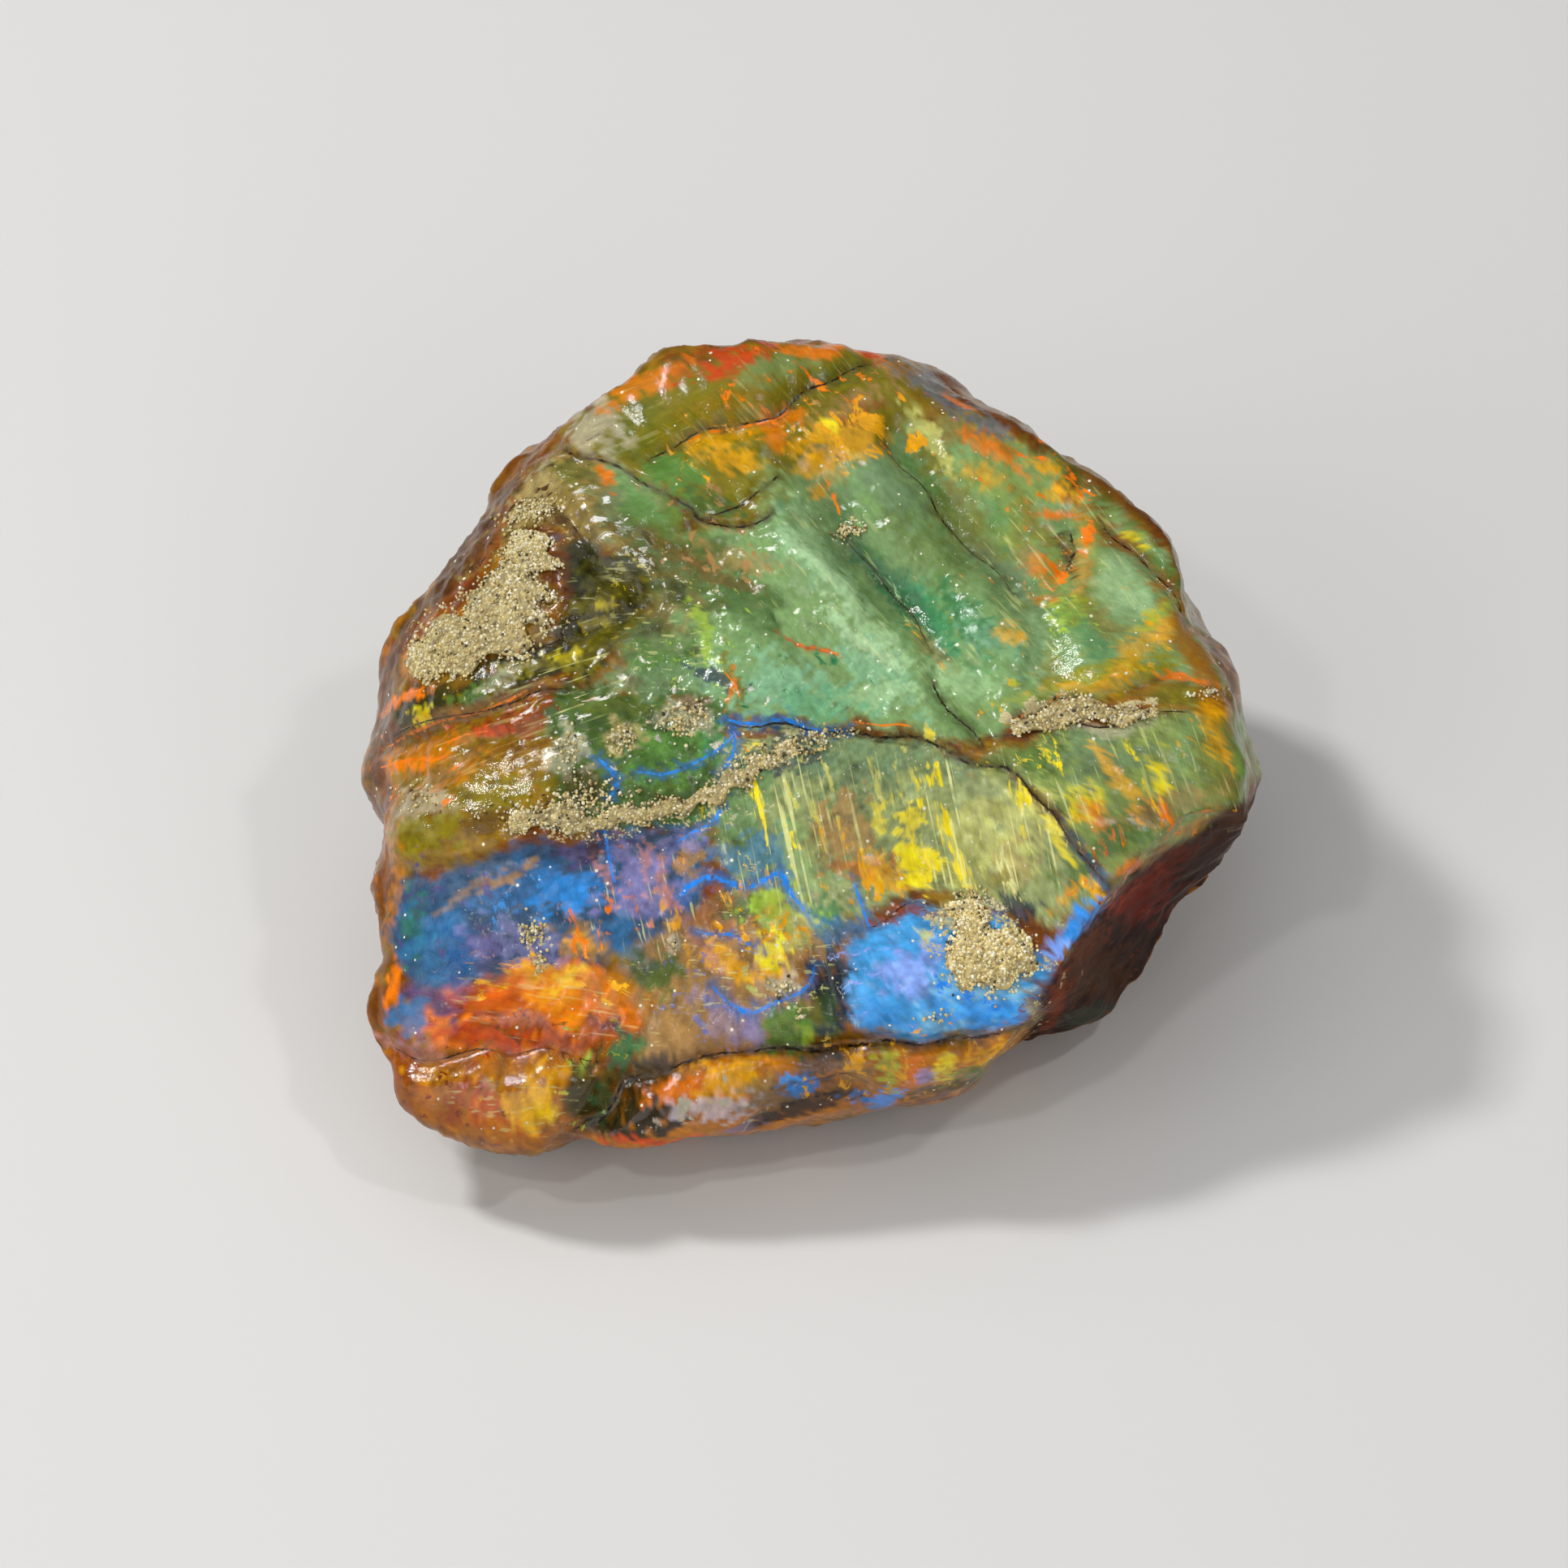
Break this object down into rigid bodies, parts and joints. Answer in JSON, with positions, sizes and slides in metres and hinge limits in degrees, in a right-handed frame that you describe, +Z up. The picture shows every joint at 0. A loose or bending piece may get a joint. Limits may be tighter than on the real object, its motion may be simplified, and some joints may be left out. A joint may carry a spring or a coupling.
{
  "type": "rough amber specimen",
  "caption": "Rough lump of blue and green amber with flat broken facets, flutes, a ledge and a clear honey lobe, with patches of sandy matrix on its face.",
  "frame": {"origin": "middle of the lump's footprint, on the surface it rests on", "axes": "+Z up as it rests, +X to the right as its coloured face is seen, -Y the side that the face leans towards"},
  "size_m": [0.0609, 0.0574, 0.0356],
  "materials": {
    "amber": "gloss",
    "sandy_matrix": "matte"
  },
  "bodies": {
    "root": {"amber_lump": "amber", "sand_crust_left": "sandy_matrix", "sand_crust_middle": "sandy_matrix", "sand_crust_right": "sandy_matrix", "sand_crust_lower": "sandy_matrix"}
  },
  "joints": []
}
